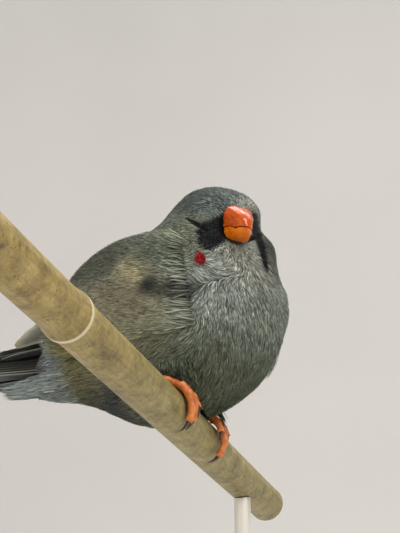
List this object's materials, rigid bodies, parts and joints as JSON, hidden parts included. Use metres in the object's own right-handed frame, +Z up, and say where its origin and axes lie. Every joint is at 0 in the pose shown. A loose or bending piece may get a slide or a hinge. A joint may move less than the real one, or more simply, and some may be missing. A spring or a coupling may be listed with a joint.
{
  "type": "zebra finch display model on a perch",
  "caption": "Life-size zebra finch, fluffed up and asleep on a short length of bamboo cane, which a thin rod on a flat base holds up as a still museum display.",
  "frame": {"origin": "on the underside of the stand's base, straight below the middle of the two feet", "axes": "+Z up; the cane runs along X with the bird's left side towards +X; the bird's breast faces -Y and its tail points to +Y"},
  "size_m": [0.196, 0.1204, 0.1699],
  "materials": {
    "plumage": "soft matt feathers",
    "wing_feather": "flat vanes with a faint sheen",
    "tail_feather": "flat vanes with a faint sheen",
    "bill": "glossy horn",
    "eye": "wet gloss",
    "foot": "scaly skin, satin",
    "claw": "smooth horn",
    "cane": "smooth bamboo rind, mottled",
    "stand": "satin paint"
  },
  "bodies": {
    "root": {"bill_lower": "bill", "bill_upper": "bill", "claw_left_1": "claw", "claw_left_2": "claw", "claw_left_3": "claw", "claw_left_4": "claw", "claw_right_1": "claw", "claw_right_2": "claw", "claw_right_3": "claw", "claw_right_4": "claw", "eye_left": "eye", "eye_right": "eye", "head": "plumage", "leg_left": "foot", "leg_right": "foot", "neck": "plumage", "perch": "cane", "stand_base": "stand", "stand_rod": "stand", "tail": "tail_feather", "toe_left_1": "foot", "toe_left_2": "foot", "toe_left_3": "foot", "toe_left_4": "foot", "toe_right_1": "foot", "toe_right_2": "foot", "toe_right_3": "foot", "toe_right_4": "foot", "torso": "plumage", "wing_left": "wing_feather", "wing_right": "wing_feather"}
  },
  "joints": []
}
